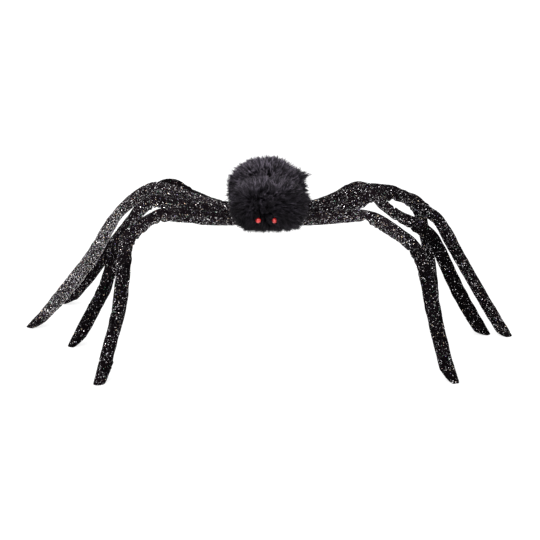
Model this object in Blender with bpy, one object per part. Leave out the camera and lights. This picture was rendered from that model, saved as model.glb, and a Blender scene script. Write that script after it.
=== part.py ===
"""Furry toy spider decoration: two balls of black plush with bead eyes, standing on eight
stuffed legs of glitter fabric. Metres, Z up, the floor at z = 0, the spider faces -Y."""
import math
import random

import bmesh
import bpy
from mathutils import Vector

MM = 0.001

# Brings the middle of the standing spider onto the origin, millimetres
CENTRE_SHIFT = Vector((-1, -2, 0))
# Clear space between neighbouring pieces, millimetres
GAP = 0.3

# Legs, millimetres. Each row is x, y, z of the leg's middle and the thickness of its inner
# side there: small numbers are the pinches and creases of a bend.
LEG_ROWS = {
    "leg_right_1": [
        (-32, -25, 207, 8), (-60, -25, 207, 10.4), (-90, -46, 215, 10.6), (-111, -61, 222, 9.7),
        (-131, -75, 229, 10.6), (-150, -89, 232, 8.2), (-166, -100, 227, 6.8),
        (-182, -112, 219, 10.6), (-194, -120, 208, 10), (-200, -124, 183, 11),
        (-204, -127, 153, 11.8), (-210.5, -131, 107, 11.8), (-217, -137, 79, 9.8),
        (-227.5, -144, 43, 10.2), (-235, -149, 14, 11.3), (-239, -153, 0, 8),
    ],
    "leg_right_2": [
        (-32, -8.5, 207, 8), (-60, -8.5, 208, 9), (-91, -14, 217, 9), (-128, -19, 226, 9.5),
        (-153, -22, 231.5, 9.5), (-169, -23, 232, 7.5), (-184, -24, 218, 6),
        (-205.5, -24, 192, 8.2), (-222, -24, 163, 8.5), (-243, -23, 101, 10.2),
        (-258, -22, 71.5, 10.2), (-278, -20, 34.5, 10.5), (-296, -19, 0, 8),
    ],
    "leg_right_3": [
        (-32, 8.5, 207, 8), (-60, 8.5, 210, 9), (-93, 15, 219, 9), (-123, 22, 227, 9.5),
        (-146, 26, 235, 12), (-166, 30, 238, 9.5), (-180, 33, 233, 8.5), (-199.5, 36, 220.5, 9),
        (-224, 40, 196, 6.6), (-243, 42, 171, 8.6), (-272.5, 46, 123.5, 11), (-319, 51, 64, 12),
        (-353.5, 54, 20.5, 8), (-372, 56, 0, 7.5),
    ],
    "leg_right_4": [
        (-32, 25, 207, 8), (-60, 25, 209, 8.5), (-91, 44, 211.5, 8.5), (-120.5, 60, 220.5, 8.5),
        (-144, 73, 230.5, 8), (-167, 86, 222, 7), (-193, 98.5, 193, 8), (-219, 111, 156.5, 8),
        (-246, 123, 120.5, 8.5), (-287.5, 140, 63.5, 10.8), (-311.5, 149, 32.5, 10.4),
        (-335, 157, 0, 8),
    ],
    "leg_left_1": [
        (32, -25, 207, 8), (60, -25, 207, 10.4), (79, -37, 212, 10.3), (104, -53, 219, 10),
        (130, -70, 225, 8), (143.5, -78, 226, 4), (158.5, -87, 224, 10), (184, -102, 211, 10),
        (201, -112, 200, 8.8), (215, -119, 185, 10), (225, -124, 161, 10.7),
        (232, -128, 134, 12), (241.5, -133, 94, 12.8), (251.5, -139, 53, 12),
        (261.5, -144, 19, 12.4), (268, -148, 0, 10),
    ],
    "leg_left_2": [
        (32, -8.5, 207, 8), (60, -8.5, 208, 9), (95, -10, 214, 9.5), (124, -11, 222, 10.5),
        (143, -11, 232, 10.4), (158, -11, 239, 7), (170, -10, 226, 7), (186, -9, 210.5, 5.2),
        (206.5, -6, 199.5, 7.4), (229, -3, 188, 10.4), (248, 1, 171, 8.7), (261.5, 4, 150, 10.5),
        (291, 12, 90, 11.8), (312.5, 18, 50.5, 12), (342, 27, 0, 10),
    ],
    "leg_left_3": [
        (32, 8.5, 207, 8), (60, 8.5, 209, 9), (96, 15, 218, 8.5), (126, 20, 230, 9.5),
        (156, 24, 237, 9.2), (187, 27, 233.5, 12.4), (206, 28, 225.5, 8.8), (224, 29, 218, 9.6),
        (240, 29, 204, 8.5), (260.5, 29, 188, 7.5), (278.5, 29, 162, 10), (294, 28, 133.5, 9.3),
        (330.5, 25, 72, 8.9), (350, 24, 40, 9.1), (375, 21, 0, 8.5),
    ],
    "leg_left_4": [
        (32, 25, 207, 8), (60, 25, 209, 8.5), (98, 60, 209, 8.5), (124, 83, 216.5, 8),
        (142, 96, 220, 7), (167, 113, 211, 8.5), (201, 130, 200, 8.5), (228, 140, 187, 8),
        (247, 145, 166, 9), (255.5, 147, 137, 9), (263, 149, 107, 9), (270.5, 151, 71, 9.3),
        (276, 152, 35, 9), (280, 153, 0, 7.5),
    ],
}
LEG_OUTER = 10.0
LEG_SIDE = 8.5
# Slimmer where the leg is sewn in beside its neighbours
LEG_OUTER_ROOT = 8.3
LEG_SIDE_ROOT = 6.7
# The leg runs straight out of the body, then turns and reaches its full width
LEG_ROOT_STRAIGHT = 30
LEG_ROOT_LENGTH = 70
RING_SPACING = 11.5
RING_SIDES = 10
# Points on the smooth curve between two rows
SPLINE_STEPS = 24
# The slanting sewn foot end: its length and the share of each half width left at the sole
TIP_LENGTH = 20
SOLE_OUTER = 0.9
SOLE_INNER = 0.55
SOLE_SIDE = 0.6
# Rings of the leg that its socket in the body follows
SOCKET_RINGS = 5

# Balls of fur, millimetres: centre, half sizes to the tips of the fur, roundness upwards and
# downwards, number of locks, depth of the valleys between the locks
HEAD = {
    "centre": (3.5, -42, 236.5), "half": (60, 50, 41), "up": 2.2, "down": 2.8,
    "locks": 78, "valley": 7.0, "lean": 4.0, "seed": 3,
}
ABDOMEN = {
    "centre": (1, 48, 235), "half": (65, 63, 48.5), "up": 2.05, "down": 2.5,
    "locks": 86, "valley": 8.0, "lean": 4.5, "seed": 8,
}

# Side of the block that cuts each ball off flat at the waist, millimetres
WAIST_BLOCK = 160

# Bead eyes, millimetres
EYE_RADIUS = 4.0
EYE_X = 11.5
EYE_Y = -84
EYE_Z = 223
EYE_SEGMENTS = 16
# The hollow in the fur in which a bead sits
EYE_HOLLOW_RADIUS = 7.5
EYE_HOLLOW_Y = -90


def clear_scene():
    for obj in list(bpy.data.objects):
        bpy.data.objects.remove(obj, do_unlink=True)


def new_collection(name):
    collection = bpy.data.collections.new(name)
    bpy.context.scene.collection.children.link(collection)
    return collection


def new_material(name, colour, roughness, specular):
    material = bpy.data.materials.new(name)
    material.use_nodes = True
    shader = material.node_tree.nodes["Principled BSDF"]
    shader.inputs["Base Color"].default_value = (*colour, 1.0)
    shader.inputs["Roughness"].default_value = roughness
    shader.inputs["Specular IOR Level"].default_value = specular
    material.diffuse_color = (*colour, 1.0)
    return material


def mesh_object(name, bm, collection, material, location, smooth=False):
    """One object from a bmesh in millimetres around its location, faces turned outwards."""
    bmesh.ops.recalc_face_normals(bm, faces=bm.faces)
    for face in bm.faces:
        face.smooth = smooth
    bmesh.ops.scale(bm, vec=(MM, MM, MM), verts=bm.verts)
    mesh = bpy.data.meshes.new(name)
    bm.to_mesh(mesh)
    bm.free()
    obj = bpy.data.objects.new(name, mesh)
    obj.location = (Vector(location) + CENTRE_SHIFT) * MM
    if material is not None:
        mesh.materials.append(material)
    collection.objects.link(obj)
    return obj


def make_cutter(obj):
    obj.hide_render = True
    obj.display_type = "WIRE"


def cut(obj, cutter, name):
    modifier = obj.modifiers.new(name, "BOOLEAN")
    modifier.operation = "DIFFERENCE"
    modifier.solver = "EXACT"
    modifier.object = cutter


def spline_point(rows, index, share):
    """A point of the smooth curve through the rows, between row index and the next."""
    first = rows[max(index - 1, 0)]
    last = rows[min(index + 2, len(rows) - 1)]
    point = []
    for a, b, c, d in zip(first, rows[index], rows[index + 1], last):
        point.append(0.5 * (
            2 * b + (c - a) * share + (2 * a - 5 * b + 4 * c - d) * share ** 2
            + (3 * b - a - 3 * c + d) * share ** 3))
    return point


def leg_curve(rows):
    """Evenly spaced (position, inner thickness, distance) along a leg."""
    fine = []
    for index in range(len(rows) - 1):
        for step in range(SPLINE_STEPS):
            fine.append(spline_point(rows, index, step / SPLINE_STEPS))
    fine.append([float(value) for value in rows[-1]])
    distances = [0.0]
    for before, after in zip(fine, fine[1:]):
        distances.append(distances[-1] + (Vector(after[:3]) - Vector(before[:3])).length)
    count = round(distances[-1] / RING_SPACING)
    samples = []
    index = 0
    for step in range(count + 1):
        distance = distances[-1] * step / count
        while index < len(fine) - 2 and distances[index + 1] < distance:
            index += 1
        share = (distance - distances[index]) / (distances[index + 1] - distances[index])
        share = min(max(share, 0.0), 1.0)
        row = [a + (b - a) * share for a, b in zip(fine[index], fine[index + 1])]
        samples.append((Vector(row[:3]), row[3], distance))
    return samples


def smooth_step(value):
    value = min(max(value, 0.0), 1.0)
    return value * value * (3 - 2 * value)


def leg_frames(rows):
    """Centre, outward direction, side direction and three half widths of each leg ring."""
    samples = leg_curve(rows)
    length = samples[-1][2]
    outwards = Vector(rows[-1][:3]) - Vector(rows[1][:3])
    outwards.z = 0
    outwards.normalize()
    plane_side = Vector((-outwards.y, outwards.x, 0))
    root_side = Vector((0, 1 if outwards.x > 0 else -1, 0))
    frames = []
    for index, (centre, inner, distance) in enumerate(samples):
        before = samples[max(index - 1, 0)][0]
        after = samples[min(index + 1, len(samples) - 1)][0]
        along = (after - before).normalized()
        turn = smooth_step((distance - LEG_ROOT_STRAIGHT) / LEG_ROOT_LENGTH)
        side = root_side.lerp(plane_side, turn)
        side = (side - along * side.dot(along)).normalized()
        outer_direction = along.cross(side).normalized()
        if outer_direction.z < 0:
            outer_direction.negate()
        grown = smooth_step(distance / LEG_ROOT_LENGTH)
        half_side = LEG_SIDE_ROOT + (LEG_SIDE - LEG_SIDE_ROOT) * grown
        outer = LEG_OUTER_ROOT + (LEG_OUTER - LEG_OUTER_ROOT) * grown
        tip = 1 - (length - distance) / TIP_LENGTH
        if tip > 0:
            level = outer_direction.lerp(outwards, tip).normalized()
            stretch = 1 / max(level.dot(outer_direction), 0.5)
            outer *= stretch * (1 - (1 - SOLE_OUTER) * tip ** 3)
            inner *= stretch * (1 - (1 - SOLE_INNER) * tip ** 3)
            half_side *= 1 - (1 - SOLE_SIDE) * tip ** 3
            outer_direction = level
            side = plane_side
        frames.append((centre, outer_direction, side, outer, inner, half_side))
    return frames


def tube_mesh(frames, origin, grow, on_floor):
    """A closed tube through a leg's rings. On the floor, the last ring is the flat sole."""
    bm = bmesh.new()
    rings = []
    for centre, outer_direction, side, outer, inner, half_side in frames:
        ring = []
        for step in range(RING_SIDES):
            angle = 2 * math.pi * (step + 0.5) / RING_SIDES
            height = math.cos(angle)
            reach = (outer if height > 0 else inner) + grow
            point = centre + outer_direction * height * reach
            point += side * math.sin(angle) * (half_side + grow)
            if on_floor and centre is frames[-1][0]:
                point.z = 0
            ring.append(bm.verts.new(point - origin))
        rings.append(ring)
    for ring, following in zip(rings, rings[1:]):
        for step in range(RING_SIDES):
            other = (step + 1) % RING_SIDES
            bm.faces.new((ring[step], ring[other], following[other], following[step]))
    bm.faces.new(reversed(rings[0]))
    bm.faces.new(rings[-1])
    return bm


def socket_frames(frames):
    """The stretch of a leg inside the body, begun a little earlier for clear space."""
    inside = frames[:SOCKET_RINGS]
    along = (frames[1][0] - frames[0][0]).normalized()
    inside[0] = (frames[0][0] - along * GAP, *frames[0][1:])
    return inside


def ball_radius(direction, ball):
    """Distance from the centre of a ball of fur to its surface along a direction."""
    power = ball["up"] if direction.z > 0 else ball["down"]
    total = sum(
        (abs(part) / half) ** power for part, half in zip(direction, ball["half"]))
    return total ** (-1 / power)


def fur_ball(name, ball, collection, material):
    """A closed ball whose surface stands out in pointed locks that lean downwards."""
    rng = random.Random(ball["seed"])
    bm = bmesh.new()
    locks = ball["locks"]
    for index in range(locks):
        height = 1 - 2 * (index + 0.5) / locks
        around = index * math.pi * (3 - math.sqrt(5))
        level = math.sqrt(1 - height * height)
        bm.verts.new((level * math.cos(around), level * math.sin(around), height))
    bmesh.ops.convex_hull(bm, input=bm.verts)
    bmesh.ops.subdivide_edges(bm, edges=bm.edges[:], cuts=1, use_grid_fill=True)
    for vertex in bm.verts:
        direction = vertex.co.normalized()
        radius = ball_radius(direction, ball)
        # The middles of the subdivided edges lie inside the unit ball, the tips lie on it
        if vertex.co.length > 0.999:
            slope = Vector((0, 0, -1))
            slope -= direction * slope.dot(direction)
            slope += Vector((rng.uniform(-0.5, 0.5), rng.uniform(-0.5, 0.5), 0))
            vertex.co = direction * radius * rng.uniform(0.97, 1.0) + slope * ball["lean"]
        else:
            vertex.co = direction * (radius - ball["valley"] * rng.uniform(0.8, 1.1))
    return mesh_object(name, bm, collection, material, ball["centre"])


def sphere_mesh(radius, segments):
    bm = bmesh.new()
    bmesh.ops.create_uvsphere(
        bm, u_segments=segments, v_segments=segments // 2 + 2, radius=radius)
    return bm


def build():
    clear_scene()
    spider = new_collection("furry_toy_spider")
    cutters = new_collection("cutters")
    fur = new_material("black_fur", (0.018, 0.016, 0.02), 0.9, 0.2)
    glitter = new_material("black_glitter_fabric", (0.02, 0.02, 0.024), 0.6, 0.5)
    bead = new_material("red_bead", (0.75, 0.03, 0.02), 0.15, 0.5)

    for name, rows in LEG_ROWS.items():
        root = Vector(rows[0][:3])
        frames = leg_frames(rows)
        bm = tube_mesh(frames, root, 0, True)
        mesh_object(name, bm, spider, glitter, root, smooth=True)
        bm = tube_mesh(socket_frames(frames), root, GAP, False)
        make_cutter(mesh_object("socket_" + name, bm, cutters, None, root))

    head = fur_ball("head", HEAD, spider, fur)
    abdomen = fur_ball("abdomen", ABDOMEN, spider, fur)

    # The two balls press flat against each other at the waist
    for ball, name, side in ((head, "behind_head", 1), (abdomen, "before_abdomen", -1)):
        bm = bmesh.new()
        bmesh.ops.create_cube(bm, size=WAIST_BLOCK)
        place = (0, side * (WAIST_BLOCK - GAP) / 2, HEAD["centre"][2])
        block = mesh_object(name, bm, cutters, None, place)
        make_cutter(block)
        cut(ball, block, "waist")

    for side in ("right", "left"):
        for number in (1, 2):
            leg = "leg_%s_%d" % (side, number)
            cut(head, cutters.objects["socket_" + leg], "socket_" + leg)
        for number in (3, 4):
            leg = "leg_%s_%d" % (side, number)
            cut(abdomen, cutters.objects["socket_" + leg], "socket_" + leg)

    for name, side in (("eye_right", -1), ("eye_left", 1)):
        place = (side * EYE_X, EYE_Y, EYE_Z)
        bm = sphere_mesh(EYE_RADIUS, EYE_SEGMENTS)
        mesh_object(name, bm, spider, bead, place, smooth=True)
        bm = sphere_mesh(EYE_RADIUS + GAP, EYE_SEGMENTS)
        pocket = mesh_object("pocket_" + name, bm, cutters, None, place)
        bm = sphere_mesh(EYE_HOLLOW_RADIUS, EYE_SEGMENTS)
        hollow = mesh_object(
            "hollow_" + name, bm, cutters, None, (side * EYE_X, EYE_HOLLOW_Y, EYE_Z))
        for cutter in (pocket, hollow):
            make_cutter(cutter)
            cut(head, cutter, cutter.name)


build()
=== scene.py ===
"""Looks of the furry toy spider decoration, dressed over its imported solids.

Lengths are millimetres until a mesh is made. The spider stands on the floor at z = 0 and
faces -Y, and its left and right are its own."""
import math

import bmesh
import bpy
import numpy as np
from mathutils import Matrix, Vector


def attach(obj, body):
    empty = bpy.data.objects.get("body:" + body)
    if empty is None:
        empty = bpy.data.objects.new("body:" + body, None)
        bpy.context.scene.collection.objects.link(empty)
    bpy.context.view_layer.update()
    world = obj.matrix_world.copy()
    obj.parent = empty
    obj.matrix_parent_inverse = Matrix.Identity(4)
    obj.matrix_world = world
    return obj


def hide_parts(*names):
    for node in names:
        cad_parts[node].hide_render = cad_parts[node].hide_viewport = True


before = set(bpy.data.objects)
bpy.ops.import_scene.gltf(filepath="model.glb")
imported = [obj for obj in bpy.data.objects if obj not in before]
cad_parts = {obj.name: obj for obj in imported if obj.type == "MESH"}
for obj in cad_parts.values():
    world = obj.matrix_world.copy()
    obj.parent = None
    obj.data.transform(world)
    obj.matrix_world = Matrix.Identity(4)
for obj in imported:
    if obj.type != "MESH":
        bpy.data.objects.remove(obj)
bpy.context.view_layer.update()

MM = 0.001

# The photograph's view
CAMERA_PLACE = (4.25, -1721.66, 743.11)
CAMERA_TILT = 70
CAMERA_LENS = 80
CAMERA_SENSOR = 36
CAMERA_CLIP = (0.05, 1000)

# Soft light: an even white room and a wide panel overhead, tilted towards the camera
WORLD_STRENGTH = 0.6
OVERHEAD_STRENGTH = 2.5
OVERHEAD_SPREAD = 70
OVERHEAD_TILT = (28, -12, 0)
FRONT_PLACE = (-0.9, -1.7, 1.9)
FRONT_SIZE = 0.4
FRONT_POWER = 9
FRONT_AIM = (0, 0, 0.2)
FLOOR_GLOW = 0.8
# Half the floor's width, in millimetres, so that its edge isn't seen
FLOOR_HALF = 300000

# The middle of the standing spider lies on the origin, as in the solids
CENTRE_SHIFT = np.array((-1.0, -2.0, 0.0))

# Legs: x, y, z of the leg's middle and the thickness of its inner side, as in the solids
LEG_ROWS = {
    "leg_right_1": [
        (-32, -25, 207, 8), (-60, -25, 207, 10.4), (-90, -46, 215, 10.6), (-111, -61, 222, 9.7),
        (-131, -75, 229, 10.6), (-150, -89, 232, 8.2), (-166, -100, 227, 6.8),
        (-182, -112, 219, 10.6), (-194, -120, 208, 10), (-200, -124, 183, 11),
        (-204, -127, 153, 11.8), (-210.5, -131, 107, 11.8), (-217, -137, 79, 9.8),
        (-227.5, -144, 43, 10.2), (-235, -149, 14, 11.3), (-239, -153, 0, 8),
    ],
    "leg_right_2": [
        (-32, -8.5, 207, 8), (-60, -8.5, 208, 9), (-91, -14, 217, 9), (-128, -19, 226, 9.5),
        (-153, -22, 231.5, 9.5), (-169, -23, 232, 7.5), (-184, -24, 218, 6),
        (-205.5, -24, 192, 8.2), (-222, -24, 163, 8.5), (-243, -23, 101, 10.2),
        (-258, -22, 71.5, 10.2), (-278, -20, 34.5, 10.5), (-296, -19, 0, 8),
    ],
    "leg_right_3": [
        (-32, 8.5, 207, 8), (-60, 8.5, 210, 9), (-93, 15, 219, 9), (-123, 22, 227, 9.5),
        (-146, 26, 235, 12), (-166, 30, 238, 9.5), (-180, 33, 233, 8.5), (-199.5, 36, 220.5, 9),
        (-224, 40, 196, 6.6), (-243, 42, 171, 8.6), (-272.5, 46, 123.5, 11), (-319, 51, 64, 12),
        (-353.5, 54, 20.5, 8), (-372, 56, 0, 7.5),
    ],
    "leg_right_4": [
        (-32, 25, 207, 8), (-60, 25, 209, 8.5), (-91, 44, 211.5, 8.5), (-120.5, 60, 220.5, 8.5),
        (-144, 73, 230.5, 8), (-167, 86, 222, 7), (-193, 98.5, 193, 8), (-219, 111, 156.5, 8),
        (-246, 123, 120.5, 8.5), (-287.5, 140, 63.5, 10.8), (-311.5, 149, 32.5, 10.4),
        (-335, 157, 0, 8),
    ],
    "leg_left_1": [
        (32, -25, 207, 8), (60, -25, 207, 10.4), (79, -37, 212, 10.3), (104, -53, 219, 10),
        (130, -70, 225, 8), (143.5, -78, 226, 4), (158.5, -87, 224, 10), (184, -102, 211, 10),
        (201, -112, 200, 8.8), (215, -119, 185, 10), (225, -124, 161, 10.7),
        (232, -128, 134, 12), (241.5, -133, 94, 12.8), (251.5, -139, 53, 12),
        (261.5, -144, 19, 12.4), (268, -148, 0, 10),
    ],
    "leg_left_2": [
        (32, -8.5, 207, 8), (60, -8.5, 208, 9), (95, -10, 214, 9.5), (124, -11, 222, 10.5),
        (143, -11, 232, 10.4), (158, -11, 239, 7), (170, -10, 226, 7), (186, -9, 210.5, 5.2),
        (206.5, -6, 199.5, 7.4), (229, -3, 188, 10.4), (248, 1, 171, 8.7), (261.5, 4, 150, 10.5),
        (291, 12, 90, 11.8), (312.5, 18, 50.5, 12), (342, 27, 0, 10),
    ],
    "leg_left_3": [
        (32, 8.5, 207, 8), (60, 8.5, 209, 9), (96, 15, 218, 8.5), (126, 20, 230, 9.5),
        (156, 24, 237, 9.2), (187, 27, 233.5, 12.4), (206, 28, 225.5, 8.8), (224, 29, 218, 9.6),
        (240, 29, 204, 8.5), (260.5, 29, 188, 7.5), (278.5, 29, 162, 10), (294, 28, 133.5, 9.3),
        (330.5, 25, 72, 8.9), (350, 24, 40, 9.1), (375, 21, 0, 8.5),
    ],
    "leg_left_4": [
        (32, 25, 207, 8), (60, 25, 209, 8.5), (98, 60, 209, 8.5), (124, 83, 216.5, 8),
        (142, 96, 220, 7), (167, 113, 211, 8.5), (201, 130, 200, 8.5), (228, 140, 187, 8),
        (247, 145, 166, 9), (255.5, 147, 137, 9), (263, 149, 107, 9), (270.5, 151, 71, 9.3),
        (276, 152, 35, 9), (280, 153, 0, 7.5),
    ],
}
# The slanted foot: the share of its width that rests flat, and how steeply the rest rises, in
# millimetres over a whole width
FOOT_CUT = {
    "leg_right_1": (0.75, 30), "leg_right_2": (0.5, 15), "leg_right_3": (0.55, 12),
    "leg_right_4": (0.35, 10), "leg_left_1": (0.32, 15), "leg_left_2": (0.3, 7),
    "leg_left_3": (0.5, 9), "leg_left_4": (0.35, 8),
}
FOOT_CURVE = 1.15
# Pinches across the inner side of the legs where they are folded over, by their x, with their depth
PINCHES = {
    "leg_right_1": [(-152, 2.8), (-192, 1.9), (-180, 1.2)],
    "leg_right_2": [(-170, 1.9), (-192, 1.2)],
    "leg_right_3": [(-166, 1.6), (-190, 1.2)],
    "leg_right_4": [(-160, 2.0), (-180, 1.2)],
    "leg_left_1": [(144, 2.2), (208, 1.2)],
    "leg_left_2": [(158, 1.5), (196, 1.2), (218, 1.4), (240, 1.8)],
    "leg_left_3": [(181, 1.8), (196, 2.0), (236, 1.6)],
    "leg_left_4": [(142, 2.2), (236, 1.6)],
}
PINCH_WIDTH = 1.9
# Height in the tube's section, from -1 to 1, below which a pinch bites
PINCH_FROM = 0.25
# The roll on both sides of a pinch: its share of the depth, its distance and its width
ROLL_SHARE = 0.45
ROLL_PLACE = 6.5
ROLL_WIDTH = 3.2
# Glitter against the average leg, beside the body and on the lower half, and the distances along
# the leg between which the one gives way to the other
GLITTER_SHARE = {
    "leg_right_1": (1.4, 0.6), "leg_right_2": (1.2, 0.4), "leg_right_3": (1.4, 3.0),
    "leg_right_4": (0.7, 0.5), "leg_left_1": (1.5, 0.55), "leg_left_2": (1.1, 0.3),
    "leg_left_3": (1.1, 0.65), "leg_left_4": (0.9, 0.5),
}
GLITTER_CHANGE = (165, 250)
# The share of it that is left off the upper side of a leg beside the body, as painted shade that
# darkens that side
GLITTER_SHADE_GAP = {
    "leg_right_1": 0.7, "leg_right_2": 0.5, "leg_right_4": 0.8, "leg_left_1": 0.5,
    "leg_left_2": 0.45, "leg_left_3": 0.4,
}
# Height in the tube's section from which that painted shade leaves the glitter off, and the rise
# over which that sets in
SHADE_GAP_FROM = 0.05
SHADE_GAP_RISE = 0.6
# How much of that painted shade the fine glitter in the material follows
SHADE_GAP_DUST = 0.25
# Where the glitter is rubbed off at the foot: the share that is left, and the distances from the
# end between which that sets in
GLITTER_FOOT = {"leg_right_3": 0.8}
GLITTER_FOOT_REACH = (42, 20)
# A leg's thickness on its outer side and half its width, both also at the root, and the
# stretches over which the root is straight and grows
LEG_OUTER = 10.0
LEG_SIDE = 8.5
LEG_OUTER_ROOT = 8.3
LEG_SIDE_ROOT = 6.7
LEG_ROOT_STRAIGHT = 30
LEG_ROOT_LENGTH = 70
RING_SPACING = 2.2
RING_SIDES = 36
RING_ANGLES = 2 * math.pi * np.arange(RING_SIDES) / RING_SIDES
SPLINE_STEPS = 24
LEG_SEED = 100
# The foot: the stretch that turns level with the floor, and the sole's share of the thickness
TIP_LENGTH = 20
SOLE_OUTER = 0.97
SOLE_INNER = 0.9
# Stretch at the foot end over which the cloth closes, how roundly, and the width that is left
TIP_CLOSING = 3
TIP_ROUNDNESS = 2.4
TIP_SEAM = 0.9
# The sewn seam along the inner side: depth, width in radians, and the puckers beside it
SEAM_DEPTH = 0.6
SEAM_WIDTH = 0.13
PUCKER_SPACING = 6.0
PUCKER_SHARE = 0.4

# Creases on the short side of each bend: spacing, depth and the bend rate that gives them all
CREASE_SPACING = 10.5
CREASE_DEPTH = 2.2
FULL_BEND = 0.035
BEND_RINGS = 9
# How far creases wander along the leg and over what length, how far they slant across it, how
# round they are, and the share of their height that lies under the surface
CREASE_WANDER = 2.5
CREASE_WANDER_LENGTH = 17
CREASE_SLANT = 3.0
CREASE_ROUNDNESS = 0.7
CREASE_LEVEL = 0.75
# Uneven stuffing under the cloth: the height of the lumps, and the waves that make them, with
# their lengths, strengths, most turns round the leg and the height of their sum
LUMP_HEIGHT = 0.26
LUMP_WAVES = 14
LUMP_LENGTHS = (16, 55)
LUMP_STRENGTHS = (0.3, 1)
LUMP_TURNS = 4
LUMP_SUM = 2.2

# Cloth simulation of the legs: Blender's units per millimetre, a hundred times life size, its
# frames and quality, the cloth's stiffness and the pressure of the stuffing
CLOTH_SCALE = 0.1
CLOTH_FRAMES = 16
CLOTH_QUALITY = 4
CLOTH_STIFFNESS = 60
CLOTH_SHEAR = 24
CLOTH_BENDING = 0.3
CLOTH_PRESSURE = 2.0
# Stretches at the root and the foot that are held, and the most spare cloth inside a bend
CLOTH_HELD_ROOT = 30
CLOTH_HELD_FOOT = 24
CLOTH_SPARE_MOST = 0.8
# Rings over which the even movement is taken out, how far a point may move, and the lowest height
CLOTH_EVEN_RINGS = 15
CLOTH_CAP = 2.0
CLOTH_LOWEST = 0.5

# Glitter flakes on the average leg, its length, and the reach of a flake from its middle
FLAKES_PER_LEG = 6000
AVERAGE_LEG = 400
FLAKE_REACH = 0.6
FLAKE_SPREAD = (0.85, 1.15)
# Size of the dullest flakes against that, and how much larger the brightest ones are
FLAKE_SMALL = 0.75
FLAKE_GROWTH = 0.7
# How far flakes tilt, lie above the cloth and are sunk into it
FLAKE_TILT = 0.5
FLAKE_LIFT = (0.12, 0.3)
FLAKE_ROOT = 0.35
FLAKE_SEED = 500
# Fine glitter in the cloth's material: the size of its cells and the specks' reach in a cell, the
# share of cells with a speck, and how much it greys the cloth, up to the most
FINE_GLITTER = ((2.4, 0.15), (1.5, 0.13))
FINE_SHARE = 0.6
FINE_GREY = 1.7
FINE_GREY_MOST = 2.6

# Balls of fur, as in the solids: centre, half sizes to the tips, roundness up and down, the side
# on which the ball lies in y, the crown from which the fur is combed away, the numbers of locks
# and strands, the fur's slant in degrees, and the painted light, a factor on the brightness
# painted into the whole ball's fur. A tuft is the place of a lock that stands out.
HEAD = {
    "centre": (3.5, -42, 236.5), "half": (60, 50, 41), "up": 2.2, "down": 2.8, "side": -1,
    "crown": (-0.1, -1.0, 0.3), "seed": 3, "locks": 2300, "underfur": 12000, "overfur": 19900,
    "slant": 42, "tufts": [(73, -20, 247), (77, -26, 238)], "light": 0.78,
}
ABDOMEN = {
    "centre": (1, 48, 235), "half": (65, 63, 48.5), "up": 2.05, "down": 2.5, "side": 1,
    "crown": (0.0, -1.0, 0.25), "seed": 8, "locks": 2700, "underfur": 12500, "overfur": 20000,
    "slant": 35, "tufts": [(76, 20, 263)], "light": 1.38,
}
# Places where the fur stands higher or lower: the way from the ball's centre, the spread in
# radians and the height in millimetres
HEAD["swells"] = [
    ((0.72, -0.23, -0.65), 0.15, 9.5), ((-0.68, -0.24, -0.69), 0.11, 6.0),
    ((0.99, 0.05, 0.13), 0.08, 6.0), ((-0.84, -0.19, -0.51), 0.08, 3.5),
    ((-1.0, 0.01, 0.04), 0.08, 4.5), ((0.18, -0.93, -0.30), 0.14, 3.0),
    ((-0.32, -0.90, -0.29), 0.14, 3.0), ((0.05, -0.15, 0.99), 0.35, -2.5),
]
ABDOMEN["swells"] = [
    ((0.74, 0.23, 0.63), 0.18, -9.5), ((-0.92, 0.14, 0.37), 0.09, -6.0),
    ((0.29, 0.33, 0.90), 0.08, 4.5), ((0.95, 0.11, 0.30), 0.08, 5.5),
    ((-0.2, 0.3, 0.93), 0.1, -4.0), ((-0.72, 0.2, 0.66), 0.07, -5.0),
]
# The dense fur ends a little inside the tips of the solid's locks
FUR_INSET = 4.5
# Layers of fur: length and half width of a strand, how far its tip strays, and the seed
FUR_LAYERS = {
    "underfur": {"length": 12.0, "half": 0.40, "spread": 0.10, "seed": 20},
    "overfur": {"length": 17.0, "half": 0.32, "spread": 0.05, "seed": 40},
}
# How fur hangs, against the sweep away from the crown, and the least sweep
FUR_DROOP = 0.15
FUR_SWEEP = 0.7
# Locks lean by that much at random, end at that share of the length and draw strands together.
# Streaks are the fine groups of like shade in a lock.
LOCK_TILT = 0.35
LOCK_REACH = (0.65, 1.35)
LOCK_PULL = 0.6
STREAKS_PER_LOCK = 4
STREAK_TILT = 0.2
STREAK_REACH = (0.85, 1.12)
STREAK_PULL = 0.6
# How unevenly locks and strands are spread, against their spacing
LOCK_JITTER = 0.4
STRAND_JITTER = 0.5
# A strand's own length, hold in its lock, width and shade, and its middle's width, rise and stray
STRAND_REACH = (0.7, 1.1)
STRAND_HOLD = (0.55, 1.0)
STRAND_WIDTH = (0.7, 1.3)
STRAND_SHADE = (0.75, 1.25)
WIDTH_SEED = 50
# Faces of a strand: corners 0 to 2 are at its root, 3 to 5 at its middle and 6 is its tip
STRAND_FACES = ((0, 1, 4, 3), (1, 2, 5, 4), (2, 0, 3, 5), (3, 4, 6), (4, 5, 6), (5, 3, 6), (0, 2, 1))
MIDDLE_WIDTH = 0.8
MIDDLE_RISE = 0.1
MIDDLE_STRAY = 0.35
# Share of strands that stick out by themselves, and how much longer they are
STRAY_SHARE = 0.03
STRAY_REACH = 1.3
# The fur is trimmed flat that far above the ball's lowest point, and what is left of a strand
# below there
TRIM_HEIGHT = 2.8
TRIMMED = 0.15
# The trim rises towards the right side by that share
TRIM_SLANT = 0.02
# Strands that start within that height above the trim keep only a share of their locks' ways
FRINGE_HEIGHT = 34
FRINGE_SHARE = 0.15
# Painted shade and light along a strand, at its root, middle and tip: painted shade at the root
# and painted light on the tip
PAINTED_LIGHT_ALONG = (0.06, 0.5, 1.0)
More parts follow.
